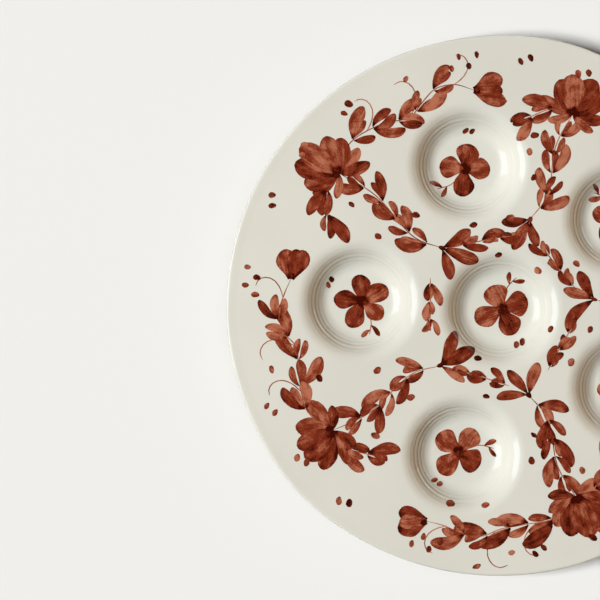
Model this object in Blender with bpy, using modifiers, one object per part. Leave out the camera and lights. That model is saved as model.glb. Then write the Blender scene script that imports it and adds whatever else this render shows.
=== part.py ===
"""Round seder plate in glazed earthenware.

A flat deck slab, barely turned up at its edge, is pierced by six bevelled openings. Six
thrown cups are luted into them, a turned foot ring is luted below, and one glaze coat
runs over the face, the six wells, the edge and the outer underside.

Metres, +Z up. The origin is on the standing plane at the plate's axis, +X is the right
of the plate and +Y its top, as it is seen from above.
"""

import math

import bmesh
import bpy

# Wells, as measured in the clay
WELL_MOUTH_RADIUS = 0.0410  # where the deck starts to roll into a well
WELL_DEPTH = 0.0136  # at the middle of the dished floor
WELL_SLOPE = math.radians(48)  # steepest part of the wall, above the horizontal
FLOOR_TILT = math.radians(1.5)  # edge of the dished floor, above the horizontal
MOUTH_ROLL = 0.0108  # convex radius at the mouth
FLOOR_FILLET = 0.0120  # concave radius round the floor
CUP_WALL = 0.0055
CUP_CLEARANCE = 0.0040  # bottoms of the cups above the table

# Bevelled seats of the cups in the deck
SEAT_SHOULDER = 0.0012
SEAT_TAPER = math.radians(20)

# Deck, edge and foot ring
WELL_WEB = 0.0121  # deck left between the centre seat and a seat on the pitch circle
RIM_BAND = 0.0375  # mouth of an outer well to the glazed edge
DECK_THICKNESS = 0.0065
LIP_RISE = 0.0002  # edge turned up above the deck
LIP_WIDTH = 0.0060  # flat of the deck to the crest of the edge
EDGE_REACH = 0.0006  # rounded edge beyond its crest
FOOT_GAP = 0.0045  # outermost cup to the foot ring
FOOT_WIDTH = 0.0050  # standing face
FOOT_FLARE = 0.0011  # each side of the foot ring, wider at the deck
FOOT_CHAMFER = 0.0009

# Joints and coat
LUTE = 0.0003  # slip joint between two clay pieces
GLAZE_BOND = 0.0003
GLAZE_THICKNESS = 0.0004
GLAZE_LINE = 0.0018  # bare clay left beside the foot ring

# The outer cups stand evenly on the pitch circle, but for the maker's hand:
# name, radial drift (m), bearing drift (degrees)
CUP_STEP = 72.0
FIRST_BEARING = 36.0
OUTER_CUPS = (
    ("upper_right_cup", 0.0027, -1.3),
    ("upper_cup", -0.0031, -6.6),
    ("left_cup", -0.0078, -2.1),
    ("lower_cup", 0.0027, 5.1),
    ("lower_right_cup", 0.0041, 4.1),
)
CENTRE_DRIFT = (0.0027, -0.0019)

RIM_STEPS = 72
CUP_STEPS = 24
ARC_STEPS = 3
LIP_STEPS = 2
EDGE_STEPS = 4

# A shallow well shrinks its two radii together, so that they still meet
ROLL_DROP = 1 - math.cos(WELL_SLOPE)
FILLET_DROP = math.cos(FLOOR_TILT) - math.cos(WELL_SLOPE)
DISH_SHARE = math.tan(FLOOR_TILT) / 2
CURVE_DROP = MOUTH_ROLL * ROLL_DROP + FLOOR_FILLET * FILLET_DROP
CURVE_SHARE = min(1.0, 0.8 * WELL_DEPTH / CURVE_DROP)
ROLL = MOUTH_ROLL * CURVE_SHARE
FILLET = FLOOR_FILLET * CURVE_SHARE

# The straight part of the wall takes the depth that the curves and the dish leave
STEEP_RUN = WELL_MOUTH_RADIUS - (ROLL + FILLET) * math.sin(WELL_SLOPE)
STEEP_FLOOR = STEEP_RUN + FILLET * math.sin(FLOOR_TILT)
WALL_DROP = (WELL_DEPTH - CURVE_DROP * CURVE_SHARE - STEEP_FLOOR * DISH_SHARE) / (
    1 - DISH_SHARE / math.tan(WELL_SLOPE)
)
WALL_RUN = WALL_DROP / math.tan(WELL_SLOPE)
FILLET_RADIUS = STEEP_RUN - WALL_RUN  # centre line of the fillet, from the well's axis
DISH_RADIUS = STEEP_FLOOR - WALL_RUN
DISH_DEPTH = DISH_RADIUS * DISH_SHARE

# Heights
FILLET_DEPTH = WELL_DEPTH - DISH_DEPTH - FILLET * math.cos(FLOOR_TILT)
DECK_TOP = CUP_CLEARANCE + CUP_WALL + FILLET_DEPTH + FILLET
DECK_BOTTOM = DECK_TOP - DECK_THICKNESS

# Outside of a cup where it passes the underside of the deck, and its seat
WALL_TOP_RADIUS = WELL_MOUTH_RADIUS - ROLL * math.sin(WELL_SLOPE)
WALL_TOP_Z = DECK_TOP - ROLL * (1 - math.cos(WELL_SLOPE))
OUTER_RADIUS = WALL_TOP_RADIUS + CUP_WALL * math.sin(WELL_SLOPE)
OUTER_Z = WALL_TOP_Z - CUP_WALL * math.cos(WELL_SLOPE)
NECK_RADIUS = OUTER_RADIUS + (DECK_BOTTOM - OUTER_Z) / math.tan(WELL_SLOPE)
SEAT_RUN = DECK_THICKNESS * math.tan(SEAT_TAPER)
SEAT_TOP_RADIUS = max(NECK_RADIUS + SEAT_SHOULDER + SEAT_RUN, WELL_MOUTH_RADIUS + 0.0012)
SEAT_BOTTOM_RADIUS = SEAT_TOP_RADIUS - SEAT_RUN
LUTE_ACROSS = LUTE / math.cos(SEAT_TAPER)

# Radii of the plate
WELL_PITCH = 2 * SEAT_TOP_RADIUS + WELL_WEB
PLATE_RADIUS = WELL_PITCH + WELL_MOUTH_RADIUS + RIM_BAND
CLAY_RADIUS = PLATE_RADIUS - GLAZE_BOND - GLAZE_THICKNESS
EDGE_HALF = (DECK_THICKNESS + LIP_RISE) / 2
CREST_RADIUS = CLAY_RADIUS - EDGE_REACH
FLAT_RADIUS = CREST_RADIUS - LIP_WIDTH
CUP_REACH = WELL_PITCH + max(drift for _, drift, _ in OUTER_CUPS) + SEAT_BOTTOM_RADIUS
FOOT_INNER = CUP_REACH + FOOT_GAP
FOOT_OUTER = FOOT_INNER + FOOT_WIDTH + 2 * FOOT_FLARE


def cup_places():
    """Name and place of every cup, the centre one first."""
    places = [("centre_cup", CENTRE_DRIFT[0], CENTRE_DRIFT[1])]
    for number, (name, radial, turn) in enumerate(OUTER_CUPS):
        bearing = math.radians(FIRST_BEARING + CUP_STEP * number + turn)
        reach = WELL_PITCH + radial
        places.append((name, reach * math.cos(bearing), reach * math.sin(bearing)))
    return places


def edge_profile(offset):
    """From the flat of the deck up to the crest and round the edge to the underside."""
    points = []
    for step in range(LIP_STEPS):
        share = step / LIP_STEPS
        rise = LIP_RISE * share * share * (3 - 2 * share)
        slope = LIP_RISE / LIP_WIDTH * 6 * share * (1 - share)
        length = math.hypot(slope, 1)
        points.append(
            (
                FLAT_RADIUS + LIP_WIDTH * share - offset * slope / length,
                DECK_TOP + rise + offset / length,
            )
        )
    middle = DECK_BOTTOM + EDGE_HALF
    for step in range(EDGE_STEPS + 1):
        across = math.sin(math.pi * step / EDGE_STEPS)
        up = math.cos(math.pi * step / EDGE_STEPS)
        length = math.hypot(EDGE_HALF * across, EDGE_REACH * up)
        points.append(
            (
                CREST_RADIUS + (EDGE_REACH + offset * EDGE_HALF / length) * across,
                middle + (EDGE_HALF + offset * EDGE_REACH / length) * up,
            )
        )
    return points


def well_profile(offset):
    """From the mouth of a well down to the middle of its floor."""
    points = []
    for step in range(ARC_STEPS + 1):
        turn = WELL_SLOPE * step / ARC_STEPS
        points.append(
            (
                WELL_MOUTH_RADIUS - (ROLL + offset) * math.sin(turn),
                DECK_TOP - ROLL + (ROLL + offset) * math.cos(turn),
            )
        )
    for step in range(ARC_STEPS, -1, -1):
        turn = FLOOR_TILT + (WELL_SLOPE - FLOOR_TILT) * step / ARC_STEPS
        points.append(
            (
                FILLET_RADIUS + (FILLET - offset) * math.sin(turn),
                DECK_TOP - FILLET_DEPTH - (FILLET - offset) * math.cos(turn),
            )
        )
    middle = DECK_TOP - WELL_DEPTH
    half_slope = math.tan(FLOOR_TILT) / 2
    half_length = math.hypot(half_slope, 1)
    points.append(
        (
            DISH_RADIUS / 2 - offset * half_slope / half_length,
            middle + DISH_DEPTH / 4 + offset / half_length,
        )
    )
    points.append((0.0, middle + offset))
    return points


def cup_profile():
    """Cross-section of a cup, from the middle of its floor out over the mouth and round below."""
    points = list(reversed(well_profile(0.0)))
    points.append((SEAT_TOP_RADIUS - LUTE_ACROSS, DECK_TOP))
    points.append((SEAT_BOTTOM_RADIUS - LUTE_ACROSS, DECK_BOTTOM))
    points.append((NECK_RADIUS, DECK_BOTTOM))
    for step in range(ARC_STEPS, -1, -1):
        turn = WELL_SLOPE * step / ARC_STEPS
        points.append(
            (
                FILLET_RADIUS + (FILLET + CUP_WALL) * math.sin(turn),
                DECK_TOP - FILLET_DEPTH - (FILLET + CUP_WALL) * math.cos(turn),
            )
        )
    points.append((0.0, CUP_CLEARANCE))
    return points


def foot_profile():
    """Cross-section of the foot ring, as a closed outline."""
    top = DECK_BOTTOM - LUTE
    face_inner = FOOT_INNER + FOOT_FLARE
    face_outer = FOOT_OUTER - FOOT_FLARE
    return [
        (FOOT_INNER, top),
        (FOOT_OUTER, top),
        (face_outer, FOOT_CHAMFER),
        (face_outer - FOOT_CHAMFER, 0.0),
        (face_inner + FOOT_CHAMFER, 0.0),
        (face_inner, FOOT_CHAMFER),
    ]


def make_material(name, colour, roughness, coat):
    material = bpy.data.materials.new(name)
    material.use_nodes = True
    shader = material.node_tree.nodes["Principled BSDF"]
    shader.inputs["Base Color"].default_value = (*colour, 1.0)
    shader.inputs["Roughness"].default_value = roughness
    shader.inputs["Coat Weight"].default_value = coat
    return material


def add_object(name, mesh, collection, material=None):
    thing = bpy.data.objects.new(name, mesh)
    if material:
        mesh.materials.append(material)
    collection.objects.link(thing)
    return thing


def turned(name, profile, closed, steps, collection, material=None):
    """A profile in the XZ plane swept round Z."""
    count = len(profile)
    edges = [(i, i + 1) for i in range(count - 1)]
    if closed:
        edges.append((count - 1, 0))
    mesh = bpy.data.meshes.new(name)
    mesh.from_pydata([(radius, 0.0, z) for radius, z in profile], edges, [])
    thing = add_object(name, mesh, collection, material)
    screw = thing.modifiers.new("Turn", "SCREW")
    screw.axis = "Z"
    screw.angle = math.tau
    screw.steps = steps
    screw.render_steps = steps
    screw.use_merge_vertices = True
    screw.merge_threshold = 0.00001
    return thing


def seat_cutter(name, x, y, collection):
    """The bevelled opening of one cup, run past both faces of the deck."""
    past = 0.002
    run = past * math.tan(SEAT_TAPER)
    depth = DECK_THICKNESS + 2 * past
    bm = bmesh.new()
    bmesh.ops.create_cone(
        bm,
        cap_ends=True,
        segments=CUP_STEPS,
        radius1=SEAT_BOTTOM_RADIUS - run,
        radius2=SEAT_TOP_RADIUS + run,
        depth=depth,
    )
    mesh = bpy.data.meshes.new(name)
    bm.to_mesh(mesh)
    bm.free()
    cutter = add_object(name, mesh, collection)
    cutter.location = (x, y, (DECK_TOP + DECK_BOTTOM) / 2)
    cutter.hide_render = True
    cutter.display_type = "WIRE"
    return cutter


def spun(bm, profile, x, y, steps):
    """Adds a profile swept round an upright axis to a mesh under construction."""
    verts = [bm.verts.new((x + radius, y, z)) for radius, z in profile]
    edges = [bm.edges.new(pair) for pair in zip(verts, verts[1:])]
    bmesh.ops.spin(
        bm,
        geom=verts + edges,
        cent=(x, y, 0.0),
        axis=(0.0, 0.0, 1.0),
        angle=math.tau,
        steps=steps,
        use_merge=True,
    )


def glaze_mesh(places):
    """Inner face of the coat: edge band, six wells and the deck between them."""
    bm = bmesh.new()
    band = edge_profile(GLAZE_BOND)
    band.append((FOOT_OUTER + GLAZE_LINE, DECK_BOTTOM - GLAZE_BOND))
    spun(bm, band, 0.0, 0.0, RIM_STEPS)
    for _, x, y in places:
        spun(bm, well_profile(GLAZE_BOND), x, y, CUP_STEPS)
    bmesh.ops.remove_doubles(bm, verts=bm.verts, dist=0.000005)
    level = DECK_TOP + GLAZE_BOND
    loops = [
        edge
        for edge in bm.edges
        if edge.is_boundary and all(abs(v.co.z - level) < 1e-6 for v in edge.verts)
    ]
    bmesh.ops.triangle_fill(bm, use_beauty=True, edges=loops, normal=(0.0, 0.0, 1.0))
    bmesh.ops.recalc_face_normals(bm, faces=bm.faces)
    highest = max(bm.faces, key=lambda face: face.calc_center_median().z)
    if highest.normal.z < 0:
        bmesh.ops.reverse_faces(bm, faces=bm.faces)
    mesh = bpy.data.meshes.new("glaze_coat")
    bm.to_mesh(mesh)
    bm.free()
    return mesh


def build():
    for thing in list(bpy.data.objects):
        bpy.data.objects.remove(thing, do_unlink=True)
    plate = bpy.data.collections.new("seder_plate")
    bpy.context.scene.collection.children.link(plate)
    cutters = bpy.data.collections.new("cutters")
    bpy.context.scene.collection.children.link(cutters)

    slab_clay = make_material("slab_clay", (0.60, 0.46, 0.33), 0.85, 0.0)
    cup_clay = make_material("cup_clay", (0.66, 0.52, 0.38), 0.80, 0.0)
    foot_clay = make_material("foot_clay", (0.52, 0.37, 0.26), 0.90, 0.0)
    ivory_glaze = make_material("ivory_glaze", (0.73, 0.71, 0.62), 0.20, 0.6)

    places = cup_places()

    deck_outline = [(0.0, DECK_TOP)] + edge_profile(0.0) + [(0.0, DECK_BOTTOM)]
    deck = turned("deck_slab", deck_outline, False, RIM_STEPS, plate, slab_clay)
    for name, x, y in places:
        opening = deck.modifiers.new("Opening of " + name, "BOOLEAN")
        opening.operation = "DIFFERENCE"
        opening.solver = "EXACT"
        opening.object = seat_cutter(name + "_opening", x, y, cutters)

    for name, x, y in places:
        cup = turned(name, cup_profile(), False, CUP_STEPS, plate, cup_clay)
        cup.location = (x, y, 0.0)

    turned("foot_ring", foot_profile(), True, RIM_STEPS, plate, foot_clay)

    glaze = add_object("glaze_coat", glaze_mesh(places), plate, ivory_glaze)
    coat = glaze.modifiers.new("Coat", "SOLIDIFY")
    coat.thickness = GLAZE_THICKNESS
    coat.offset = 1.0
    coat.use_even_offset = True
    coat.use_rim = True


build()
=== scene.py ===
"""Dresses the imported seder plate: glossy ivory glaze over its face and wells, rust brush
painting in it, thrown cups and a bare foot ring below, and a plain pale table."""

import bisect
import math
import random

import bmesh
import bpy
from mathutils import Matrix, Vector


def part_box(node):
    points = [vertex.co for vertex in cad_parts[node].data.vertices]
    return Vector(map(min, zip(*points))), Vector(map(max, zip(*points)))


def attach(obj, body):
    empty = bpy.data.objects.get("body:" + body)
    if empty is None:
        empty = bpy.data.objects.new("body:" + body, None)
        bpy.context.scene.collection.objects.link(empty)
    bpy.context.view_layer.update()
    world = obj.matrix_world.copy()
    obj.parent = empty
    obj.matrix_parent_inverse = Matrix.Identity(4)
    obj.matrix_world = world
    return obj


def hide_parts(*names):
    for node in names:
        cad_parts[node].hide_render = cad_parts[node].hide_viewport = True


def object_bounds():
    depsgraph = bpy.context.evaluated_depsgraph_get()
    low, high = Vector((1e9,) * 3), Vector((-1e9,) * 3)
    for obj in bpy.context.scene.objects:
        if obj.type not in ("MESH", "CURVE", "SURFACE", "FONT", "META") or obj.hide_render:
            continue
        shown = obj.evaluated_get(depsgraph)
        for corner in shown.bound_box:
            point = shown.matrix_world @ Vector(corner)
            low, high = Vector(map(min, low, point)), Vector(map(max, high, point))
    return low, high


bl_info = {
    "name": "Painted Seder Plate",
    "version": (1, 0, 0),
    "blender": (4, 5, 0),
    "location": "View3D > Sidebar > Plate",
    "description": "Glazes and paints a six-well ceramic plate around its packed CAD frame",
    "category": "Object",
}

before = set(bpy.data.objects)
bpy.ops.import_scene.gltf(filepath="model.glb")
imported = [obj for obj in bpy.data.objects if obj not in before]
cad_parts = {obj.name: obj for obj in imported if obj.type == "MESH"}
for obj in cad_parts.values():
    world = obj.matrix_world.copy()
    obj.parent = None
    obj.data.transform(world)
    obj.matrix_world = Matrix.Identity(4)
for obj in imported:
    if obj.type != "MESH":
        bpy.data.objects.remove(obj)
CAD_LOW, CAD_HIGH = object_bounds()

CENTRE_CUP = "centre_cup"
OUTER_CUPS = (
    "upper_right_cup",
    "upper_cup",
    "left_cup",
    "lower_cup",
    "lower_right_cup",
)
CUPS = (CENTRE_CUP, *OUTER_CUPS)
CUP_LOW, CUP_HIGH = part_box(CENTRE_CUP)
SLAB_LOW, SLAB_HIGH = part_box("deck_slab")
_, FOOT_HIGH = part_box("foot_ring")
DECK_TOP = CUP_HIGH.z
DECK_BOTTOM = SLAB_LOW.z


def plan_centre(node):
    """Axis of a turned node, in plan."""
    low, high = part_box(node)
    return Vector(((low.x + high.x) / 2, (low.y + high.y) / 2))


CENTRES = {name: plan_centre(name) for name in CUPS}


class PlateSizes(bpy.types.PropertyGroup):
    """Sizes of the glazed face, the cups and the foot ring."""

    mouth: bpy.props.FloatProperty(
        name="Well mouth",
        description="Radius at which the deck starts to roll into a well",
        default=0.0410,
        unit="LENGTH",
    )
    depth: bpy.props.FloatProperty(
        name="Well depth",
        description="Depth of a well at the middle of its floor",
        default=0.0136,
        unit="LENGTH",
    )
    slope: bpy.props.FloatProperty(
        name="Wall slope",
        description="Steepest part of a well's wall, above the horizontal",
        default=math.radians(48),
        subtype="ANGLE",
    )
    tilt: bpy.props.FloatProperty(
        name="Floor tilt",
        description="Edge of a well's dished floor, above the horizontal",
        default=math.radians(1.5),
        subtype="ANGLE",
    )
    roll: bpy.props.FloatProperty(
        name="Mouth roll",
        description="Convex radius at the mouth of a well",
        default=0.0108,
        unit="LENGTH",
    )
    fillet: bpy.props.FloatProperty(
        name="Floor fillet",
        description="Concave radius round the floor of a well",
        default=0.0120,
        unit="LENGTH",
    )
    ridge: bpy.props.FloatProperty(
        name="Turning rings",
        description="Height of the fine rings that turning left on a well's wall",
        default=0.00006,
        unit="LENGTH",
    )
    glaze: bpy.props.FloatProperty(
        name="Glaze face",
        description="Outer face of the glaze above the clay",
        default=0.0007,
        unit="LENGTH",
    )
    coat: bpy.props.FloatProperty(
        name="Glaze thickness",
        description="Thickness of the glaze coat",
        default=0.0004,
        unit="LENGTH",
    )
    lip_width: bpy.props.FloatProperty(
        name="Turned-up edge",
        description="Flat of the deck to the crest of its edge",
        default=0.0060,
        unit="LENGTH",
    )
    edge_reach: bpy.props.FloatProperty(
        name="Rounded edge",
        description="Rounding of the edge beyond its crest",
        default=0.0006,
        unit="LENGTH",
    )
    cup_wall: bpy.props.FloatProperty(
        name="Cup wall",
        description="Wall thickness of a cup",
        default=0.0055,
        unit="LENGTH",
    )
    foot_width: bpy.props.FloatProperty(
        name="Foot width",
        description="Width of the foot ring where it meets the deck",
        default=0.0072,
        unit="LENGTH",
    )
    foot_flare: bpy.props.FloatProperty(
        name="Foot flare",
        description="How much each side of the foot ring widens towards the deck",
        default=0.0011,
        unit="LENGTH",
    )
    glaze_line: bpy.props.FloatProperty(
        name="Glaze line",
        description="Bare clay left beside the foot ring",
        default=0.0018,
        unit="LENGTH",
    )


class BrushSizes(bpy.types.PropertyGroup):
    """Sizes of the painter's strokes."""

    leaf: bpy.props.FloatProperty(
        name="Leaf",
        description="Length of a leaf stroke",
        default=0.0225,
        unit="LENGTH",
    )
    petal: bpy.props.FloatProperty(
        name="Petal",
        description="Length of a petal of a rim blossom",
        default=0.0275,
        unit="LENGTH",
    )
    rosette: bpy.props.FloatProperty(
        name="Rosette petal",
        description="Length of a petal of the rosette in a well",
        default=0.0172,
        unit="LENGTH",
    )
    berry: bpy.props.FloatProperty(
        name="Berry",
        description="Length of a berry dab",
        default=0.0052,
        unit="LENGTH",
    )
    vine: bpy.props.FloatProperty(
        name="Vine",
        description="Width of a vine line",
        default=0.00070,
        unit="LENGTH",
    )
    film: bpy.props.FloatProperty(
        name="Pigment film",
        description="Pigment standing above the glaze under its first stroke",
        default=0.00006,
        unit="LENGTH",
    )
    seed: bpy.props.IntProperty(
        name="Painter's hand",
        description="Start of the small unevenness from stroke to stroke",
        default=11,
    )


class PlateColours(bpy.types.PropertyGroup):
    """Colours of the glaze, the brush pigment, the clay and the table."""

    ivory: bpy.props.FloatVectorProperty(
        name="Ivory glaze",
        description="Main colour of the glaze",
        subtype="COLOR",
        default=(0.688, 0.681, 0.590),
    )
    rust: bpy.props.FloatVectorProperty(
        name="Rust pigment",
        description="Brush pigment at its middle strength",
        subtype="COLOR",
        default=(0.208, 0.0300, 0.0104),
    )
    rust_thin: bpy.props.FloatVectorProperty(
        name="Thin pigment",
        description="Brush pigment where it is drawn out thin",
        subtype="COLOR",
        default=(0.465, 0.160, 0.086),
    )
    rust_pooled: bpy.props.FloatVectorProperty(
        name="Pooled pigment",
        description="Brush pigment where it pools at a stroke's end",
        subtype="COLOR",
        default=(0.046, 0.0036, 0.0012),
    )
    clay: bpy.props.FloatVectorProperty(
        name="Fired clay",
        description="Bare earthenware",
        subtype="COLOR",
        default=(0.60, 0.46, 0.33),
    )
    table: bpy.props.FloatVectorProperty(
        name="Table",
        description="Plain pale table top",
        subtype="COLOR",
        default=(0.884, 0.866, 0.812),
    )


class Value:
    """A shader socket on which Python's operators add Math nodes."""

    def __init__(self, shade, socket):
        self.shade = shade
        self.socket = socket

    def math(self, operation, first, second=0.0):
        settings = {"operation": operation}
        return self.shade.node("Math", settings, {0: first, 1: second}, 0)

    def __add__(self, other):
        return self.math("ADD", self, other)

    def __sub__(self, other):
        return self.math("SUBTRACT", self, other)

    def __mul__(self, other):
        return self.math("MULTIPLY", self, other)

    def __rsub__(self, other):
        return self.math("SUBTRACT", other, self)

    __radd__ = __add__
    __rmul__ = __mul__

    def __abs__(self):
        return self.math("ABSOLUTE", self)

    def above(self, start, end):
        """0 up to start and 1 from end on, smooth between."""
        return self.shade.node(
            "MapRange",
            {"interpolation_type": "SMOOTHSTEP"},
            {"Value": self, "From Min": start, "From Max": end},
            0,
        )


def rgba(colour):
    return colour if isinstance(colour, Value) else (*colour, 1.0)


def scaled(colour, share):
    return tuple(part * share for part in colour)


# The Mix node's sockets for colours
MIX_FACTOR, MIX_FIRST, MIX_SECOND, MIX_RESULT = 0, 6, 7, 2


class Shade:
    """One procedural material under construction."""

    def __init__(self, name):
        self.material = bpy.data.materials.new(name)
        self.material.use_nodes = True
        self.tree = self.material.node_tree
        self.surface = self.tree.nodes["Principled BSDF"]

    def fill(self, node, sockets):
        for name, value in sockets.items():
            if isinstance(value, Value):
                self.tree.links.new(value.socket, node.inputs[name])
            else:
                node.inputs[name].default_value = value

    def node(self, kind, settings, sockets, output):
        """Adds a node: its settings first, then the values or links of its sockets."""
        node = self.tree.nodes.new("ShaderNode" + kind)
        for name, value in settings.items():
            setattr(node, name, value)
        self.fill(node, sockets)
        return Value(self, node.outputs[output])

    def finish(self, **sockets):
        """Feeds the surface and gives back the material."""
        self.fill(self.surface, {n.replace("_", " "): v for n, v in sockets.items()})
        return self.material

    def mix(self, factor, first, second):
        """From the first colour to the second, by a value."""
        sockets = {
            MIX_FACTOR: factor,
            MIX_FIRST: rgba(first),
            MIX_SECOND: rgba(second),
        }
        return self.node("Mix", {"data_type": "RGBA"}, sockets, MIX_RESULT)

    def noise(self, vector, scale, detail):
        sockets = {"Vector": vector, "Scale": scale, "Detail": detail}
        return self.node("TexNoise", {}, sockets, 0)

    def place(self):
        return self.node("TexCoord", {}, {}, "Object")

    def attribute(self, name, output):
        return self.node("Attribute", {"attribute_name": name}, {}, output)

    def part(self, vector, axis):
        return self.node("SeparateXYZ", {}, {0: vector}, axis)

    def stretched(self, vector, scale):
        settings = {"operation": "MULTIPLY"}
        return self.node("VectorMath", settings, {0: vector, 1: scale}, 0)

    def bump(self, height, distance, strength):
        sockets = {"Height": height, "Distance": distance, "Strength": strength}
        return self.node("Bump", {}, sockets, 0)


GLAZE_IOR = 1.5
SPECK_COLOUR = (0.55, 0.47, 0.35)


def glaze_waves(shade):
    """The glaze's soft, slightly uneven surface, shared by bare and painted places."""
    waves = shade.noise(shade.place(), scale=55.0, detail=2.0)
    return shade.bump(waves, distance=0.0006, strength=0.12)


def ivory_glaze(colours):
    """Glossy ivory glaze with faint clouds and a few specks."""
    shade = Shade("ivory_glaze")
    place = shade.place()
    cloud = shade.noise(place, scale=14.0, detail=3.0)
    speck = shade.noise(place, scale=900.0, detail=2.0)
    ivory = colours.ivory
    tone = shade.mix(cloud.above(0.3, 0.7), scaled(ivory, 0.97), scaled(ivory, 1.02))
    tone = shade.mix(speck.above(0.72, 0.80) * 0.25, tone, SPECK_COLOUR)
    return shade.finish(
        Base_Color=tone,
        Roughness=0.03 + cloud * 0.04,
        IOR=GLAZE_IOR,
        Normal=glaze_waves(shade),
    )


def rust_pigment(colours):
    """Iron-red brush pigment: streaked along the stroke, darker where it pools. Its
    strength runs from pooled at 0, through the middle at a half, to thin at 1."""
    shade = Shade("rust_pigment")
    run = shade.attribute("stroke_run", "Vector")
    mark = shade.attribute("stroke_mark", "Vector")
    pool = shade.attribute("stroke_pool", "Fac")
    share = shade.part(mark, "X")
    side = abs(shade.part(mark, "Y"))
    tone = shade.part(mark, "Z")
    along, round_blots = (0.07, 1.5, 1.0), (0.13, 0.22, 1.0)
    streak = shade.noise(shade.stretched(run, along), scale=1.0, detail=2.0)
    blot = shade.noise(shade.stretched(run, round_blots), scale=1.0, detail=2.0)
    grain = shade.noise(shade.place(), scale=1100.0, detail=2.0)
    nib = 1 - share.above(0.03, 0.24)
    tip = share.above(0.86, 0.99)
    rim = side.above(0.72, 1.0)
    strength = (
        tone
        + (streak - 0.5) * 0.6
        + (blot - 0.5) * 1.5
        + (grain - 0.5) * 0.6
        - rim * 0.06
        - tip * 0.20
        - nib * pool
    )
    colour = shade.mix(strength.above(0.0, 0.5), colours.rust_pooled, colours.rust)
    colour = shade.mix(strength.above(0.45, 1.0), colour, colours.rust_thin)
    return shade.finish(
        Base_Color=colour,
        Roughness=0.05 + streak * 0.05,
        IOR=GLAZE_IOR,
        Normal=glaze_waves(shade),
    )


def fired_clay(colours, name, lightness):
    """Bare earthenware: sandy, slightly mottled and dull."""
    shade = Shade(name)
    place = shade.place()
    cloud = shade.noise(place, scale=30.0, detail=4.0)
    sand = shade.noise(place, scale=2200.0, detail=2.0)
    clay = scaled(colours.clay, lightness)
    tone = shade.mix(cloud.above(0.3, 0.7), scaled(clay, 0.86), scaled(clay, 1.08))
    tone = shade.mix(sand.above(0.62, 0.72) * 0.5, tone, scaled(clay, 0.6))
    return shade.finish(
        Base_Color=tone,
        Roughness=0.75 + cloud * 0.2,
        Normal=shade.bump(sand, distance=0.0002, strength=0.5),
    )


def table_top(colours):
    """Plain pale table top, dull and very faintly uneven in tone, with little bounce."""
    shade = Shade("table_top")
    cloud = shade.noise(shade.place(), scale=3.0, detail=2.0)
    table = colours.table
    tone = shade.mix(cloud, scaled(table, 0.995), scaled(table, 1.005))
    bounced = shade.node("LightPath", {}, {}, "Is Diffuse Ray")
    tone = shade.mix(bounced, tone, scaled(table, 0.3))
    return shade.finish(Base_Color=tone, Roughness=1.0, Specular_IOR_Level=0.0)


# Steps along a well's section, and along the outside of a cup
ROLL_STEPS, WALL_STEPS, FILLET_STEPS, FLOOR_STEPS = 18, 18, 17, 6
OUTSIDE_STEPS = 20
# Where the turning rings start and end inside a mouth (m), and the size, run and start
# (radians) of the waves that make them uneven
RINGS_START, RINGS_END = 0.0045, 0.0180
RING_WAVES = ((1.2, 37.0, 0.0), (0.5, 23.0, 1.0))
# Level steps of the deck round a mouth and inside the edge (m)
COLLAR = (0.0016, 0.0008)
# Taper of a cup's seat, its softened corner, and the step and shoulder under the deck (m)
SEAT_TAPER = math.radians(20)
SEAT_CORNER, SEAT_STEP, SEAT_SHOULDER = 0.0003, 0.0002, 0.0008


def eased(share):
    """From 0 to 1, level at both ends."""
    return share * share * (3 - 2 * share)


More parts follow.
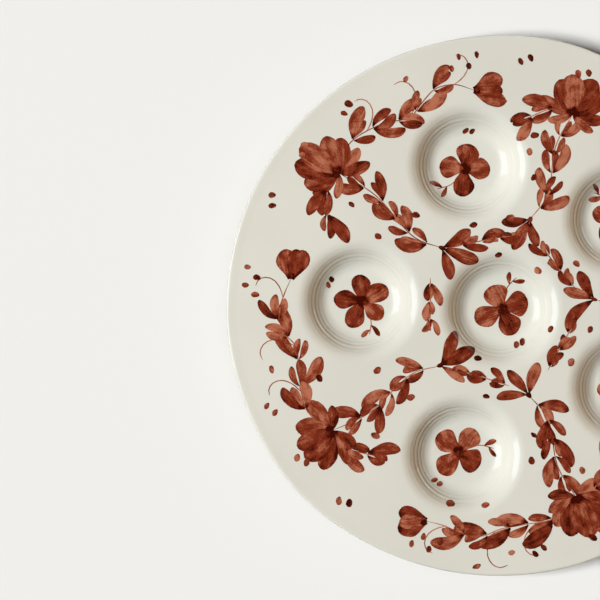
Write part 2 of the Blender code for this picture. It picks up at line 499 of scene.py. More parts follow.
class WellShape:
    """Section of a well, worked out from the plate's sizes."""

    def __init__(self, sizes):
        self.sizes = sizes
        slope, tilt = sizes.slope, sizes.tilt
        dish = math.tan(tilt) / 2
        curves = sizes.roll * (1 - math.cos(slope))
        curves += sizes.fillet * (math.cos(tilt) - math.cos(slope))
        steep = sizes.mouth - (sizes.roll + sizes.fillet) * math.sin(slope)
        floor = steep + sizes.fillet * math.sin(tilt)
        drop = (sizes.depth - curves - floor * dish) / (1 - dish / math.tan(slope))
        run = drop / math.tan(slope)
        self.fillet_radius = steep - run
        self.fillet_depth = sizes.depth - (floor - run) * dish
        self.fillet_depth -= sizes.fillet * math.cos(tilt)

    def roll(self, offset):
        """Radius, height and tilt down the mouth's roll."""
        for step in range(ROLL_STEPS + 1):
            turn = self.sizes.slope * step / ROLL_STEPS
            reach = self.sizes.roll + offset
            radius = self.sizes.mouth - reach * math.sin(turn)
            yield radius, DECK_TOP - self.sizes.roll + reach * math.cos(turn), turn

    def fillet(self, offset, end, steps):
        """Radius, height and tilt round the foot of the wall, down to a tilt of end."""
        for step in range(steps, -1, -1):
            turn = end + (self.sizes.slope - end) * step / steps
            reach = self.sizes.fillet - offset
            height = DECK_TOP - self.fillet_depth - reach * math.cos(turn)
            yield self.fillet_radius + reach * math.sin(turn), height, turn

    def inside(self, offset):
        """Radius, height and tilt from the mouth to the middle of the floor."""
        sizes = self.sizes
        points = list(self.roll(offset))
        foot = list(self.fillet(offset, sizes.tilt, FILLET_STEPS))
        top = points[-1]
        for step in range(1, WALL_STEPS):
            share = step / WALL_STEPS
            radius = top[0] + (foot[0][0] - top[0]) * share
            height = top[1] + (foot[0][1] - top[1]) * share
            points.append((radius, height, sizes.slope))
        points += foot
        edge, middle = points[-1], DECK_TOP - sizes.depth + offset
        for step in range(1, FLOOR_STEPS + 1):
            share = 1 - step / FLOOR_STEPS
            height = middle + (edge[1] - middle) * share * share
            points.append((edge[0] * share, height, sizes.tilt * share))
        return points

    def face(self):
        """Radius and height of the glazed face, with its turning rings and a flat collar."""
        sizes = self.sizes
        collar = [(sizes.mouth + more, DECK_TOP + sizes.glaze) for more in COLLAR]
        start, end = sizes.mouth - RINGS_START, sizes.mouth - RINGS_END
        ringed = []
        for radius, height, turn in self.inside(sizes.glaze):
            share = (start - radius) / (start - end)
            lift = 0.0
            if 0 < share < 1:
                waves = sum(size * math.cos(share * run + at) for size, run, at in RING_WAVES)
                lift = sizes.ridge * math.sin(math.pi * share) * waves
            ringed.append((radius - lift * math.sin(turn), height + lift * math.cos(turn)))
        return collar + ringed

    def cup(self):
        """Radius and height round the whole section of a cup, from its middle outwards."""
        sizes = self.sizes
        rim = (CUP_HIGH.x - CUP_LOW.x) / 2
        seat = rim - (DECK_TOP - DECK_BOTTOM) * math.tan(SEAT_TAPER)
        under = DECK_BOTTOM - SEAT_STEP
        points = [(radius, height) for radius, height, _ in reversed(self.inside(0.0))]
        points += [(rim - SEAT_CORNER, DECK_TOP), (rim, DECK_TOP - SEAT_CORNER)]
        points += [(seat, DECK_BOTTOM), (seat - SEAT_CORNER, under)]
        outside = self.fillet(-sizes.cup_wall, 0.0, OUTSIDE_STEPS)
        below = [(radius, height) for radius, height, _ in outside]
        radius, height = below[0]
        run = (under - height) / math.tan(sizes.slope)
        points.append((radius + run + SEAT_SHOULDER, under))
        points.append((radius + run * 0.7, height + (DECK_BOTTOM - height) * 0.6))
        return points + below + [(0.0, below[-1][1])]


# Distances from a well's middle (m): a stroke is finest on the turning rings, from the
# first to the second, and finer on the roll of the mouth, from there to the third
RINGED_FROM, RINGED_TO, ROLLED_TO = 0.0230, 0.0380, 0.0455
# Nearer than this to a well's middle, the face's lean fades out (m)
LEAN_FROM = 0.0001


class GlazedFace:
    """Height of the glazed face anywhere in plan."""

    def __init__(self, sizes):
        profile = sorted(WellShape(sizes).face())
        self.radii = [radius for radius, _ in profile]
        self.heights = [height for _, height in profile]
        self.level = DECK_TOP + sizes.glaze

    def fineness(self, place):
        """How much finer a stroke is at a place, on the turning rings or a mouth's roll."""
        reach = min((place - centre).length for centre in CENTRES.values())
        if RINGED_FROM < reach < ROLLED_TO:
            return 4 if reach < RINGED_TO else 2
        return 1

    def lifted(self, place, lift):
        """The point on the face above a place, lifted along the face's normal."""
        for centre in CENTRES.values():
            out = place - centre
            radius = out.length
            if radius >= self.radii[-1]:
                continue
            index = max(1, bisect.bisect(self.radii, radius))
            low, high = self.radii[index - 1], self.radii[index]
            rise = (self.heights[index] - self.heights[index - 1]) / (high - low)
            height = self.heights[index - 1] + rise * (radius - low)
            lean = out * (-rise / max(radius, LEAN_FROM))
            normal = Vector((lean.x, lean.y, 1.0)).normalized()
            return Vector((place.x, place.y, height)) + normal * lift
        return Vector((place.x, place.y, self.level + lift))


LIP_STEPS, EDGE_STEPS = 6, 16


def edge_profile(sizes):
    """Radius and height of the glazed edge, from the flat of the deck to the underside."""
    lift = sizes.glaze
    rise = SLAB_HIGH.z - DECK_TOP
    half = (SLAB_HIGH.z - DECK_BOTTOM) / 2
    crest = CAD_HIGH.x - lift - sizes.edge_reach
    flat = crest - sizes.lip_width
    points = [(flat - more, DECK_TOP + lift) for more in COLLAR]
    for step in range(LIP_STEPS):
        share = step / LIP_STEPS
        slope = rise / sizes.lip_width * 6 * share * (1 - share)
        height = DECK_TOP + rise * eased(share) + lift
        points.append((flat + sizes.lip_width * share - lift * slope, height))
    for step in range(EDGE_STEPS + 1):
        across = math.sin(math.pi * step / EDGE_STEPS)
        up = math.cos(math.pi * step / EDGE_STEPS)
        length = math.hypot(half * across, sizes.edge_reach * up)
        points.append(
            (
                crest + (sizes.edge_reach + lift * half / length) * across,
                DECK_BOTTOM + half + (half + lift * sizes.edge_reach / length) * up,
            )
        )
    points.append((FOOT_HIGH.x + sizes.glaze_line, DECK_BOTTOM - lift))
    return points


# Bearing and breadth (degrees) and reach (m) of the swells that the maker's hand left in
# the plate's outline
OUTLINE_SWELLS = (
    (10.0, 26.0, 0.0009),
    (76.0, 17.0, 0.0020),
    (184.0, 9.0, 0.0006),
    (224.0, 13.0, 0.0016),
    (290.0, 13.0, 0.0010),
    (335.0, 14.0, 0.0008),
)
# Radius at which the swells start, and the width over which they grow (m)
SWELL_START, SWELL_WIDTH = 0.160, 0.012


def swell_outline(verts):
    """Moves the edge of the deck out at each swell, and nothing inside its flat."""
    for vert in verts:
        radius = math.hypot(vert.co.x, vert.co.y)
        share = min(1.0, max(0.0, (radius - SWELL_START) / SWELL_WIDTH))
        turn = math.degrees(math.atan2(vert.co.y, vert.co.x))
        reach = 0.0
        for middle, breadth, most in OUTLINE_SWELLS:
            away = (turn - middle + 180.0) % 360.0 - 180.0
            reach += most * math.exp(-((away / breadth) ** 2))
        grown = 1 + reach * eased(share) / radius
        vert.co.x *= grown
        vert.co.y *= grown


# Steps round the plate's edge and foot, round a well and round a cup
ROUND_PLATE, ROUND_WELL, ROUND_CUP = 288, 104, 96
# Points nearer than this are one point, and points this close in height are level (m)
SAME_PLACE, SAME_LEVEL = 0.000002, 0.000005


def turned(profile, steps, closed=False):
    """Mesh of a profile swept round the upright axis."""
    bm = bmesh.new()
    verts = [bm.verts.new((radius, 0.0, z)) for radius, z in profile]
    edges = [bm.edges.new(pair) for pair in zip(verts, verts[1:])]
    if closed:
        edges.append(bm.edges.new((verts[-1], verts[0])))
    bmesh.ops.spin(
        bm,
        geom=verts + edges,
        cent=(0.0, 0.0, 0.0),
        axis=(0.0, 0.0, 1.0),
        angle=math.tau,
        steps=steps,
        use_merge=True,
    )
    bmesh.ops.remove_doubles(bm, verts=bm.verts, dist=SAME_PLACE)
    bmesh.ops.recalc_face_normals(bm, faces=bm.faces)
    mesh = bpy.data.meshes.new("turned")
    bm.to_mesh(mesh)
    bm.free()
    return mesh


def joined(bm, mesh, centre):
    """Adds a turned mesh to a bmesh, with its axis at a place in plan."""
    count = len(bm.verts)
    bm.from_mesh(mesh)
    bm.verts.ensure_lookup_table()
    bmesh.ops.translate(bm, verts=bm.verts[count:], vec=(centre.x, centre.y, 0.0))


def add_piece(name, bm, material):
    """Turns a bmesh into a smooth named piece that rides with the plate."""
    for face in bm.faces:
        face.smooth = True
    mesh = bpy.data.meshes.new(name)
    bm.to_mesh(mesh)
    bm.free()
    mesh.materials.append(material)
    piece = bpy.data.objects.new(name, mesh)
    bpy.context.scene.collection.objects.link(piece)
    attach(piece, "root")
    return piece


def thicken(piece, thickness):
    """Gives a sheet its thickness, inwards from its face."""
    wall = piece.modifiers.new("Thickness", "SOLIDIFY")
    wall.thickness = thickness
    wall.offset = -1.0


class PLATE_OT_glaze(bpy.types.Operator):
    """Makes the glazed face with its six wells and its edge"""

    bl_idname = "plate.glaze"
    bl_label = "Glazed Face"

    def execute(self, context):
        sizes = context.scene.plate_sizes
        bm = bmesh.new()
        joined(bm, turned(edge_profile(sizes), ROUND_PLATE), Vector((0.0, 0.0)))
        swell_outline(bm.verts)
        well = turned(WellShape(sizes).face(), ROUND_WELL)
        for centre in CENTRES.values():
            joined(bm, well, centre)
        level = DECK_TOP + sizes.glaze
        loops = [
            edge
            for edge in bm.edges
            if edge.is_boundary
            and all(abs(vert.co.z - level) < SAME_LEVEL for vert in edge.verts)
        ]
        bmesh.ops.triangle_fill(bm, use_beauty=True, edges=loops, normal=(0, 0, 1))
        bmesh.ops.recalc_face_normals(bm, faces=bm.faces)
        highest = max(bm.faces, key=lambda face: face.calc_center_median().z)
        if highest.normal.z < 0:
            bmesh.ops.reverse_faces(bm, faces=bm.faces)
        glaze = ivory_glaze(context.scene.plate_colours)
        piece = add_piece("glazed_face", bm, glaze)
        thicken(piece, sizes.coat)
        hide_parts("glaze_coat")
        return {"FINISHED"}


class PLATE_OT_cups(bpy.types.Operator):
    """Makes the six thrown cups that hang below the deck"""

    bl_idname = "plate.cups"
    bl_label = "Thrown Cups"

    def execute(self, context):
        section = WellShape(context.scene.plate_sizes).cup()
        cup = turned(section, ROUND_CUP)
        clay = fired_clay(context.scene.plate_colours, "cup_clay", lightness=1.10)
        for name, centre in CENTRES.items():
            bm = bmesh.new()
            joined(bm, cup, centre)
            piece = add_piece(name.replace("cup", "thrown_cup"), bm, clay)
            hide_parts(name)
        return {"FINISHED"}


# Softened corner of the foot ring (m), and the steps round it
FOOT_CORNER, FOOT_STEPS = 0.0010, 6


class PLATE_OT_foot(bpy.types.Operator):
    """Makes the turned foot ring, and dresses the deck slab above it"""

    bl_idname = "plate.foot"
    bl_label = "Foot Ring and Slab"

    def execute(self, context):
        sizes = context.scene.plate_sizes
        colours = context.scene.plate_colours
        outer, inner = FOOT_HIGH.x, FOOT_HIGH.x - sizes.foot_width
        inset = sizes.foot_flare + FOOT_CORNER
        section = [(inner, FOOT_HIGH.z), (outer, FOOT_HIGH.z)]
        for middle, start in ((outer - inset, 0.0), (inner + inset, math.pi / 2)):
            for step in range(FOOT_STEPS + 1):
                turn = start + math.pi / 2 * step / FOOT_STEPS
                radius = middle + FOOT_CORNER * math.cos(turn)
                section.append((radius, FOOT_CORNER * (1 - math.sin(turn))))
        bm = bmesh.new()
        bm.from_mesh(turned(section, ROUND_PLATE, closed=True))
        clay = fired_clay(colours, "foot_clay", lightness=0.82)
        piece = add_piece("turned_foot", bm, clay)
        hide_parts("foot_ring")
        slab = fired_clay(colours, "slab_clay", lightness=1.0)
        for mesh_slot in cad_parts["deck_slab"].material_slots:
            mesh_slot.material = slab
        return {"FINISHED"}


def leaf_swell(share):
    """Width of a leaf stroke: a pinched nib, a full belly and a round tip."""
    return max(0.17, math.sin(math.pi * share**1.45) ** 0.52)


def round_swell(away):
    """Half width of a round end, by the share of its radius away from its middle."""
    return math.sqrt(max(0.0, 1 - away**2))


def petal_swell(share):
    """Width of a petal stroke: a narrow base that opens to a round end."""
    widest = 0.6
    if share < widest:
        return 0.34 + 0.66 * eased(share / widest)
    return max(0.16, round_swell((share - widest) / (1 - widest)))


def dab_swell(share):
    """Width of a dab of the brush's tip."""
    return max(0.25, round_swell(2 * share - 1)) * (0.9 + 0.2 * share)


def line_swell(share):
    """Width of a drawn line, thinned at both ends."""
    return min(1.0, 0.45 + 5 * share, 0.30 + 7 * (1 - share))


LEAST_BEND = 0.001


def arc_path(base, heading, length, bend):
    """A path that leaves its base at a heading and turns steadily by bend."""
    bend = bend or LEAST_BEND

    def at(share):
        turn = heading + bend * share
        radius = length / bend
        step = Vector((math.sin(turn) - math.sin(heading), math.cos(heading) - math.cos(turn)))
        return base + step * radius, Vector((math.cos(turn), math.sin(turn)))

    return at


KNOT_STEPS = 24


class Vine:
    """A smooth line through a few places."""

    def __init__(self, knots):
        ends = [knots[0] * 2 - knots[1], *knots, knots[-1] * 2 - knots[-2]]
        self.places = [knots[0]]
        self.runs = [0.0]
        for before, start, end, after in zip(ends, ends[1:], ends[2:], ends[3:]):
            for step in range(1, KNOT_STEPS + 1):
                t = step / KNOT_STEPS
                place = (
                    start * 2
                    + (end - before) * t
                    + (before * 2 - start * 5 + end * 4 - after) * t**2
                    + (start * 3 - before - end * 3 + after) * t**3
                ) / 2
                self.runs.append(self.runs[-1] + (place - self.places[-1]).length)
                self.places.append(place)
        self.length = self.runs[-1]

    def at(self, share):
        run = share * self.length
        index = min(max(1, bisect.bisect(self.runs, run)), len(self.runs) - 1)
        start, end = self.places[index - 1], self.places[index]
        part = (run - self.runs[index - 1]) / (self.runs[index] - self.runs[index - 1])
        return start.lerp(end, part), (end - start).normalized()


# Layers of strokes in one mesh, the rise from one to the next (m), and the size of the
# spot that a layer is kept for (m)
LAYERS = 16
LAYER_STEP = 0.000001
LAYER_SPOT = 0.0036
# Places along a stroke that settle how fine it is
FINE_PROBES = 8
# Share of its width by which a stroke's edge wavers, and the spread of tone between strokes
EDGE_WAVER = 0.07
TONE_SPREAD = (-0.22, 0.25)
# A stroke's run is kept in millimetres
MILLIMETRES = 1000
# How far a stroke's film reaches down into the glaze, and the step of a drawn line (m)
FILM_ROOT = 0.00015
LINE_STEP = 0.0022


class Brush:
    """Gathers strokes of pigment on the glazed face in one mesh."""

    def __init__(self, face, sizes, level):
        self.face = face
        self.sizes = sizes
        self.hand = random.Random(sizes.seed + level)
        self.level = level
        self.layers_at = {}
        self.bm = bmesh.new()
        layers = self.bm.verts.layers
        self.run = layers.float_vector.new("stroke_run")
        self.mark = layers.float_vector.new("stroke_mark")
        self.pool = layers.float.new("stroke_pool")

    def layer(self, places):
        """A layer for a stroke: above the strokes that it crosses, or one that is free there."""
        spots = {(round(place.x / LAYER_SPOT), round(place.y / LAYER_SPOT)) for place in places}
        taken = set().union(*(self.layers_at.get(spot, ()) for spot in spots))
        layer = max(taken, default=-1) + 1
        if layer == LAYERS:
            layer = min(set(range(LAYERS)) - taken, default=0)
        for spot in spots:
            self.layers_at.setdefault(spot, set()).add(layer)
        return layer

    def stroke(self, path, length, width, swell, along, across, tone, pool):
        """One stroke along a path, laid over the strokes before it, finer on a well's wall."""
        probes = [path(step / FINE_PROBES)[0] for step in range(FINE_PROBES + 1)]
        fine = max(self.face.fineness(place) for place in probes)
        grid = bmesh.ops.create_grid(
            self.bm, x_segments=along * fine, y_segments=across * fine, size=1.0
        )
        seed = self.hand.uniform(0, 90)
        wave = self.hand.uniform(0, math.tau)
        tone += self.hand.uniform(*TONE_SPREAD)
        places = []
        for vert in grid["verts"]:
            share = (1 - math.cos(math.pi * (vert.co.x + 1) / 2)) / 2
            side = vert.co.y
            middle, heading = path(share)
            half = width / 2 * swell(share)
            half *= 1 + EDGE_WAVER * math.sin(share * 7 + wave + side * 2)
            places.append(middle + Vector((-heading.y, heading.x)) * (half * side))
            vert[self.run] = (share * length * MILLIMETRES, side * half * MILLIMETRES, seed)
            vert[self.mark] = (share, side, tone)
            vert[self.pool] = pool
        lift = self.sizes.film + (self.level * LAYERS + self.layer(places)) * LAYER_STEP
        for vert, place in zip(grid["verts"], places):
            vert.co = self.face.lifted(place, lift)

    def vary(self, value, spread):
        """A value, more or less by up to a share of itself."""
        return value * self.hand.uniform(1 - spread, 1 + spread)

    def leaf(self, base, heading, length, bend):
        length = self.vary(length, spread=0.16)
        path = arc_path(base, heading + self.hand.uniform(-0.12, 0.12), length, bend)
        width = self.vary(length * 0.365, spread=0.14)
        self.stroke(path, length, width, leaf_swell, along=12, across=4, tone=0.55, pool=0.75)

    def petal(self, base, heading, length, width, bend):
        length = self.vary(length, spread=0.10)
        path = arc_path(base, heading + self.hand.uniform(-0.10, 0.10), length, bend)
        width = self.vary(width, spread=0.10)
        self.stroke(path, length, width, petal_swell, along=12, across=6, tone=0.51, pool=0.55)

    def dab(self, place, heading, length, tone):
        length = self.vary(length, spread=0.15)
        ahead = Vector((math.cos(heading), math.sin(heading)))
        path = arc_path(place - ahead * (length / 2), heading, length, bend=0.2)
        width = self.vary(length * 0.72, spread=0.15)
        self.stroke(path, length, width, dab_swell, along=6, across=4, tone=tone, pool=0.35)

    def line(self, vine, width):
        steps = max(6, round(vine.length / LINE_STEP))
        self.stroke(
            vine.at, vine.length, width, line_swell, along=steps, across=2, tone=0.78, pool=0.0
        )

    def piece(self, name, pigment):
        """Closes the strokes into a thin film with crisp edges."""
        for edge in self.bm.edges:
            edge.smooth = not edge.is_boundary
        piece = add_piece(name, self.bm, pigment)
        thicken(piece, self.sizes.film + FILM_ROOT)


def turned_by(vector, angle):
    """A plan vector turned anticlockwise."""
    cos, sin = math.cos(angle), math.sin(angle)
    return Vector((vector.x * cos - vector.y * sin, vector.x * sin + vector.y * cos))


def spot_round(centre, reach, turn):
    """The spot at a distance and a bearing from a centre."""
    return centre + turned_by(Vector((reach, 0.0)), turn)


def bearing(vector):
    return math.atan2(vector.y, vector.x)


PLATE_MIDDLE = Vector((0.0, 0.0))
# Distances from the plate's middle (m): the blossoms, and the dabs by the rim
BLOSSOM_REACH = 0.134
RIM_DABS, EDGE_DABS = 0.1625, 0.1635
# A spray (m): how far its stem reaches in past the outer wells' middles, its sway, and the
# reach of its vine round a well
STEM_BACK = 0.0200
SWAY = 0.0035
VINE_REACH = 0.0505
# How far leaves and dabs stand from what they grow on (m)
LEAF_OFFSET, TAIL_OFFSET = 0.0007, 0.0014
FAN_EYE, BUD_EYE, ROSETTE_EYE = 0.0022, 0.0018, 0.0016
# Distances from the middle of a rosette (m): its petals, the knots of its stem, and its dabs
PETAL_START = 0.0008
STEM_KNOTS = (0.002, 0.013, 0.0225)
STEM_BOW = 0.0026
ROSETTE_DABS = 0.0250
# How far a rosette stands from the middle of its well (m)
NUDGE = 0.0022
# Tones of the dabs, from dark to pale
EYE_TONE, TAIL_TONE, BERRY_TONE = 0.0, 0.1, 0.42


class Painting:
    """Lays out the brushwork: a spray between each two outer wells with a blossom towards
    the rim, leafy vines from it round the wells, and a rosette in every well."""

    def __init__(self, face, sizes):
        self.sizes = sizes
        self.lines = Brush(face, sizes, 0)
        self.leaves = Brush(face, sizes, 1)
        self.blossoms = Brush(face, sizes, 2)
        self.rosettes = Brush(face, sizes, 2)
        self.berries = Brush(face, sizes, 3)
        self.hand = random.Random(sizes.seed + 100)

    def leafy(self, vine, shares, length, first_side, lean=0.75):
        """Leaves of two strokes along a vine, on alternate sides, with a small one opposite."""
        side = first_side
        for share in shares:
            place, ahead = vine.at(share + self.hand.uniform(-0.02, 0.02))
            grown = length * (1.08 - 0.20 * share)
            for turn, angle, size in (
                (side, lean - 0.36, 0.70),
                (side, lean + 0.16, 1.0),
                (-side, lean, 0.66),
            ):
                heading = bearing(ahead) + turn * (angle + self.hand.uniform(-0.12, 0.16))
                base = place + turned_by(ahead, turn * math.pi / 2) * LEAF_OFFSET
                bend = -turn * self.hand.uniform(0.4, 1.3)
                self.leaves.leaf(base, heading, grown * size, bend)
            if self.hand.random() < 0.5:
                spot = place + turned_by(ahead, -side * 0.9) * length * 0.95
                self.berries.dab(spot, bearing(ahead), self.sizes.berry, BERRY_TONE)
            side = -side

    def fan(self, base, heading, count):
        """A blossom seen from the side: a fan of petals out of a dark cup."""
        order = sorted(range(count), key=lambda i: -abs(i - (count - 1) / 2))
        for index in order:
            place = index - (count - 1) / 2
            turn = heading + place * 0.60
            length = self.sizes.petal * (1.04 - 0.07 * abs(place))
            self.blossoms.petal(base, turn, length, length * 0.54, -0.25 * place)
        for index in range(3):
            turn = heading + (index - 1) * 1.1
            spot = spot_round(base, FAN_EYE, turn)
            self.berries.dab(spot, turn, self.sizes.berry * 0.95, EYE_TONE)
        for side in (-1, 1):
            for turn, share in ((1.75, 1.0), (2.35, 0.85)):
                length = self.sizes.leaf * share
                self.leaves.leaf(base, heading + side * turn, length, -side * 0.6)

    def tendril(self, base, heading, length, curl):
        """A hairline that curls tighter towards its end."""
        knots = [base]
        count = 7
        for step in range(1, count + 1):
            turn = heading + curl * (step / count) ** 2
            knots.append(spot_round(knots[-1], length / count, turn))
        self.lines.line(Vine(knots), self.sizes.vine)

    def bud(self, base, heading):
        """A half-open bud of three petals."""
        for turn, share in ((-0.50, 0.74), (0.46, 0.78), (0.0, 0.66)):
            length = self.sizes.petal * share
            self.blossoms.petal(base, heading + turn, length, length * 0.58, -turn * 0.5)
        for turn in (-0.4, 0.4):
            spot = spot_round(base, BUD_EYE, heading + turn)
            self.berries.dab(spot, heading + turn, self.sizes.berry * 0.8, EYE_TONE)

    def rosette(self, centre, heading, count):
        """An open blossom with a dark eye, a curved stem with two small leaves, and two dabs."""
        size = self.sizes.rosette
        stem_turn = heading + math.pi / count
        ahead = turned_by(Vector((1.0, 0.0)), stem_turn)
        aside = turned_by(ahead, math.pi / 2)
        bow = self.hand.choice((-1, 1)) * STEM_BOW
        near, middle, far = STEM_KNOTS
        stem = Vine(
            [
                centre + ahead * near,
                centre + ahead * middle + aside * bow,
                centre + ahead * far - aside * bow * 0.2,
            ]
        )
        self.lines.line(stem, self.sizes.vine)
        for share, side in ((0.70, 1), (0.84, -1)):
            place, along = stem.at(share)
            self.rosettes.leaf(place, bearing(along) + side * 0.9, size * 0.52, -side * 0.5)
        width = size * (0.90 if count < 5 else 0.74)
        for index in range(count):
            turn = heading + math.tau * index / count
            start = spot_round(centre, PETAL_START, turn)
            bend = self.hand.uniform(-0.25, 0.25)
            self.rosettes.petal(start, turn, size, width, bend)
        for index in range(4):
            turn = heading + math.tau * index / 4 + self.hand.uniform(-0.3, 0.3)
            spot = spot_round(centre, ROSETTE_EYE, turn)
            self.berries.dab(spot, turn, self.sizes.berry * 0.85, EYE_TONE)
        for step in (0.75, 0.92):
            spot = spot_round(centre, ROSETTE_DABS, stem_turn + math.pi + step)
            self.berries.dab(spot, stem_turn, self.sizes.berry * 0.9, BERRY_TONE)

    def spray(self, first, second, index):
        """Stem, blossom, vines and dabs between two neighbouring outer wells."""
        middle = (first + second) / 2
        across = (second - first).normalized()
        out = Vector((across.y, -across.x))
        base = middle + out * (BLOSSOM_REACH - middle.length)
        self.stem(middle, base, across, out, index)
        self.fan(base, bearing(out), 5 if index % 2 else 4)
        self.vine_round(first, base, index)
        self.sprig(base, across)
        self.rim_dabs(base, second)

    def stem(self, middle, base, across, out, index):
        """The leafy stem of a spray, from three leaves at its tail to the blossom's base."""
        sizes = self.sizes
        sway = SWAY if index % 2 else -SWAY
        stem = Vine(
            [
                middle - out * STEM_BACK - across * sway,
                middle + across * sway * 0.6,
                middle.lerp(base, 0.55) - across * sway,
                base,
            ]
        )
        self.lines.line(stem, sizes.vine)
        side = 1 if index % 2 else -1
        self.leafy(stem, (0.12, 0.27, 0.44, 0.60, 0.77), sizes.leaf * 0.92, side)
        tail, ahead = stem.at(0.0)
        back = bearing(-ahead)
        for turn, share in ((0.75, 0.90), (-0.75, 0.90), (0.0, 1.0)):
            start = spot_round(tail, TAIL_OFFSET, back + turn)
            self.leaves.leaf(start, back + turn, sizes.leaf * share, turn * 0.5 + 0.1)
        self.berries.dab(tail, back, sizes.berry * 0.8, TAIL_TONE)

    def vine_round(self, well, base, index):
        """A leafy vine with tendrils, from a blossom's base round a well to a bud."""
        start = bearing(base - well)
        sweep = bearing(well) - math.radians(16) - start
        sweep = (sweep + math.pi) % math.tau - math.pi
        far = (base - well).length
        knots = []
        count = 7
        for step in range(count + 1):
            share = step / count
            near = VINE_REACH + SWAY * math.sin(share * 9 + index)
            blend = eased(min(1.0, share * 2.0))
            radius = far + (near - far) * blend
            knots.append(spot_round(well, radius, start + sweep * share))
        vine = Vine(knots)
        self.lines.line(vine, self.sizes.vine)
        self.leafy(vine, (0.20, 0.34, 0.48, 0.62, 0.76), self.sizes.leaf, 1, lean=0.72)
        for share, length in ((0.30, 0.030), (0.56, 0.034), (0.88, 0.028)):
            place, ahead = vine.at(share)
            side = 1 if ahead.cross(place - well) > 0 else -1
            self.tendril(place, bearing(ahead) + side * 0.55, length, side * 2.5)
        tip, ahead = vine.at(1.0)
        self.bud(tip, bearing(ahead) + 0.25)

    def sprig(self, base, across):
        """A short leafy line from a blossom's base, on the side away from its vine."""
        line = Vine(
            [
                base,
                base + turned_by(across, 0.10) * 0.014,
                base + turned_by(across, 0.45) * 0.032,
            ]
        )
        self.lines.line(line, self.sizes.vine)
        self.leafy(line, (0.42, 0.86), self.sizes.leaf * 0.95, -1, lean=0.6)

    def rim_dabs(self, base, well):
        """Pairs of dabs along the rim outside a blossom, and four outside a well."""
        rim = bearing(base)
        for step in (-1, 0, 1):
            turn = rim + step * 0.24
            for more in (0.0, 0.038):
                spot = spot_round(PLATE_MIDDLE, RIM_DABS - more * 0.08, turn + more)
                self.berries.dab(spot, turn + 0.5, self.sizes.berry, BERRY_TONE)
        turn = bearing(well) - 0.12
        for step in range(4):
            reach = EDGE_DABS - 0.0068 * (step % 2)
            spot = spot_round(PLATE_MIDDLE, reach, turn + step * 0.036)
            self.berries.dab(spot, turn, self.sizes.berry * 0.9, BERRY_TONE)

    def web_sprig(self, hub, well, side):
        """A short leafy arc on the web between the centre well and an outer one."""
        middle = bearing(well - hub)
        arc = Vine(
            [
                spot_round(hub, reach, middle + side * turn)
                for turn, reach in ((-0.36, 0.0500), (-0.10, 0.0462), (0.30, 0.0475))
            ]
        )
        self.lines.line(arc, self.sizes.vine)
        self.leafy(arc, (0.10, 0.48, 0.86), self.sizes.leaf * 0.66, side, lean=0.45)

    def paint(self):
        """Sprays and webs round the plate, and then the rosettes."""
        hub = CENTRES[CENTRE_CUP]
        for index, name in enumerate(OUTER_CUPS):
            following = OUTER_CUPS[(index + 1) % len(OUTER_CUPS)]
            self.spray(CENTRES[name], CENTRES[following], index)
            self.web_sprig(hub, CENTRES[name], -1 if index % 2 else 1)
        for index, centre in enumerate(CENTRES.values()):
            middle = spot_round(centre, NUDGE, index * 2.1)
            self.rosette(middle, index * 1.3 + 0.4, 5 if index % 2 else 4)


class PLATE_OT_paint(bpy.types.Operator):
    """Paints the vines, leaves, blossoms, rosettes and berries on the glazed face"""

    bl_idname = "plate.paint"
    bl_label = "Brush Painting"

    def execute(self, context):
        scene = context.scene
        painting = Painting(GlazedFace(scene.plate_sizes), scene.plate_brush)
        painting.paint()
        pigment = rust_pigment(scene.plate_colours)
        painting.lines.piece("vine_lines", pigment)
        painting.leaves.piece("vine_leaves", pigment)
        painting.blossoms.piece("rim_blossoms", pigment)
        painting.rosettes.piece("well_rosettes", pigment)
        painting.berries.piece("berry_dabs", pigment)
        return {"FINISHED"}


# Tints of the lamps, and what a lamp may light
DAY, COOL = (0.996, 1.0, 1.028), (0.985, 1.0, 1.035)
WHITE, WARM = (0.90, 1.0, 1.16), (1.0, 0.53, 0.18)
BOTH, PLATE, TABLE, GLEAM = "plate and table", "plate", "table", "gleam in the glaze"
# Name, bearing and height (degrees), distance, width and height (m), power (W), colour,
# and what it lights
LAMPS = (
    ("window", 175.5, 48.8, 6.4, 2.24, 2.24, 521.0, DAY, PLATE),
    ("window_on_table", 184.6, 50.0, 40.0, 14.0, 14.0, 19770.0, COOL, TABLE),
    ("top_card", 0.0, 90.0, 6.0, 4.0, 4.0, 20.0, COOL, BOTH),
    ("window_gleam", 181.0, 36.0, 15.5, 9.1, 12.5, 1180.0, WHITE, GLEAM),
    ("side_gleam", 26.0, 12.0, 6.0, 3.2, 1.4, 32.0, WHITE, GLEAM),
    ("warm_card", 10.0, 11.0, 6.0, 7.0, 2.1, 118.0, WARM, PLATE),
)
ROOM_COLOUR, ROOM_STRENGTH = (1.0, 0.82, 0.62, 1.0), 0.02
# Half the side of the table (m)
TABLE_HALF = 30.0
# Place of the camera (m), its focal length and the width of its sensor (mm)
CAMERA_PLACE = (-0.1275, 0.0040, 1.644)
CAMERA_LENS, CAMERA_SENSOR = 150.0, 36.0


def aimed(light, bearing_degrees, height_degrees, distance):
    """Sets a lamp at a bearing and height round the plate, facing it."""
    turn, height = math.radians(bearing_degrees), math.radians(height_degrees)
    level = math.cos(height)
    direction = Vector((math.cos(turn) * level, math.sin(turn) * level, math.sin(height)))
    light.location = direction * distance
    light.rotation_euler = direction.to_track_quat("Z", "Y").to_euler()


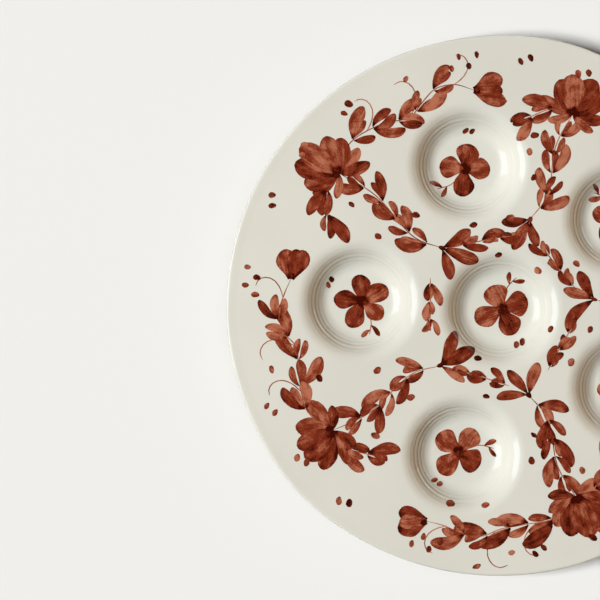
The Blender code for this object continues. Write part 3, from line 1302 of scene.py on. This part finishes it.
class PLATE_OT_stage(bpy.types.Operator):
    """Sets the table, the lamps, the room light and the camera"""

    bl_idname = "plate.stage"
    bl_label = "Table, Lamps and Camera"

    def execute(self, context):
        scene = context.scene
        bm = bmesh.new()
        bmesh.ops.create_grid(bm, x_segments=1, y_segments=1, size=TABLE_HALF)
        mesh = bpy.data.meshes.new("table_top")
        bm.to_mesh(mesh)
        bm.free()
        mesh.materials.append(table_top(scene.plate_colours))
        table = bpy.data.objects.new("table_top", mesh)
        scene.collection.objects.link(table)
        receivers = {}
        for lit, state in ((PLATE, "EXCLUDE"), (TABLE, "INCLUDE")):
            receivers[lit] = bpy.data.collections.new("light_on_" + lit)
            receivers[lit].objects.link(table)
            receivers[lit].collection_objects[0].light_linking.link_state = state

        for name, turn, height, distance, wide, tall, power, tint, lit in LAMPS:
            lamp = bpy.data.lights.new(name, "AREA")
            lamp.shape = "RECTANGLE"
            lamp.size, lamp.size_y = wide, tall
            lamp.energy = power
            lamp.color = tint
            light = bpy.data.objects.new(name, lamp)
            aimed(light, turn, height, distance)
            light.visible_glossy = lit == GLEAM
            light.visible_diffuse = lit != GLEAM
            scene.collection.objects.link(light)
            if lit in receivers:
                light.light_linking.receiver_collection = receivers[lit]

        world = bpy.data.worlds.new("soft_room")
        world.use_nodes = True
        scene.world = world
        room = world.node_tree.nodes["Background"]
        room.inputs["Color"].default_value = ROOM_COLOUR
        room.inputs["Strength"].default_value = ROOM_STRENGTH

        lens = bpy.data.cameras.new("top_camera")
        lens.lens = CAMERA_LENS
        lens.sensor_width = CAMERA_SENSOR
        camera = bpy.data.objects.new("top_camera", lens)
        camera.location = CAMERA_PLACE
        scene.collection.objects.link(camera)
        scene.camera = camera
        scene.view_settings.view_transform = "Standard"
        return {"FINISHED"}


class PLATE_PT_sidebar(bpy.types.Panel):
    """Lists the plate's sizes, colours and making steps"""

    bl_label = "Painted Seder Plate"
    bl_idname = "PLATE_PT_sidebar"
    bl_space_type = "VIEW_3D"
    bl_region_type = "UI"
    bl_category = "Plate"

    def draw(self, context):
        scene = context.scene
        for group in (scene.plate_sizes, scene.plate_brush, scene.plate_colours):
            box = self.layout.box()
            for name in group.__annotations__:
                box.prop(group, name)
        for step in STEPS:
            self.layout.operator(step.bl_idname)


STEPS = (PLATE_OT_glaze, PLATE_OT_cups, PLATE_OT_foot, PLATE_OT_paint, PLATE_OT_stage)
CLASSES = (PlateSizes, BrushSizes, PlateColours, *STEPS, PLATE_PT_sidebar)


def register():
    for kind in CLASSES:
        bpy.utils.register_class(kind)
    bpy.types.Scene.plate_sizes = bpy.props.PointerProperty(type=PlateSizes)
    bpy.types.Scene.plate_brush = bpy.props.PointerProperty(type=BrushSizes)
    bpy.types.Scene.plate_colours = bpy.props.PointerProperty(type=PlateColours)


def unregister():
    del bpy.types.Scene.plate_colours
    del bpy.types.Scene.plate_brush
    del bpy.types.Scene.plate_sizes
    for kind in reversed(CLASSES):
        bpy.utils.unregister_class(kind)


def main():
    register()
    bpy.ops.plate.glaze()
    bpy.ops.plate.cups()
    bpy.ops.plate.foot()
    bpy.ops.plate.paint()
    bpy.ops.plate.stage()


if __name__ == "__main__":
    main()
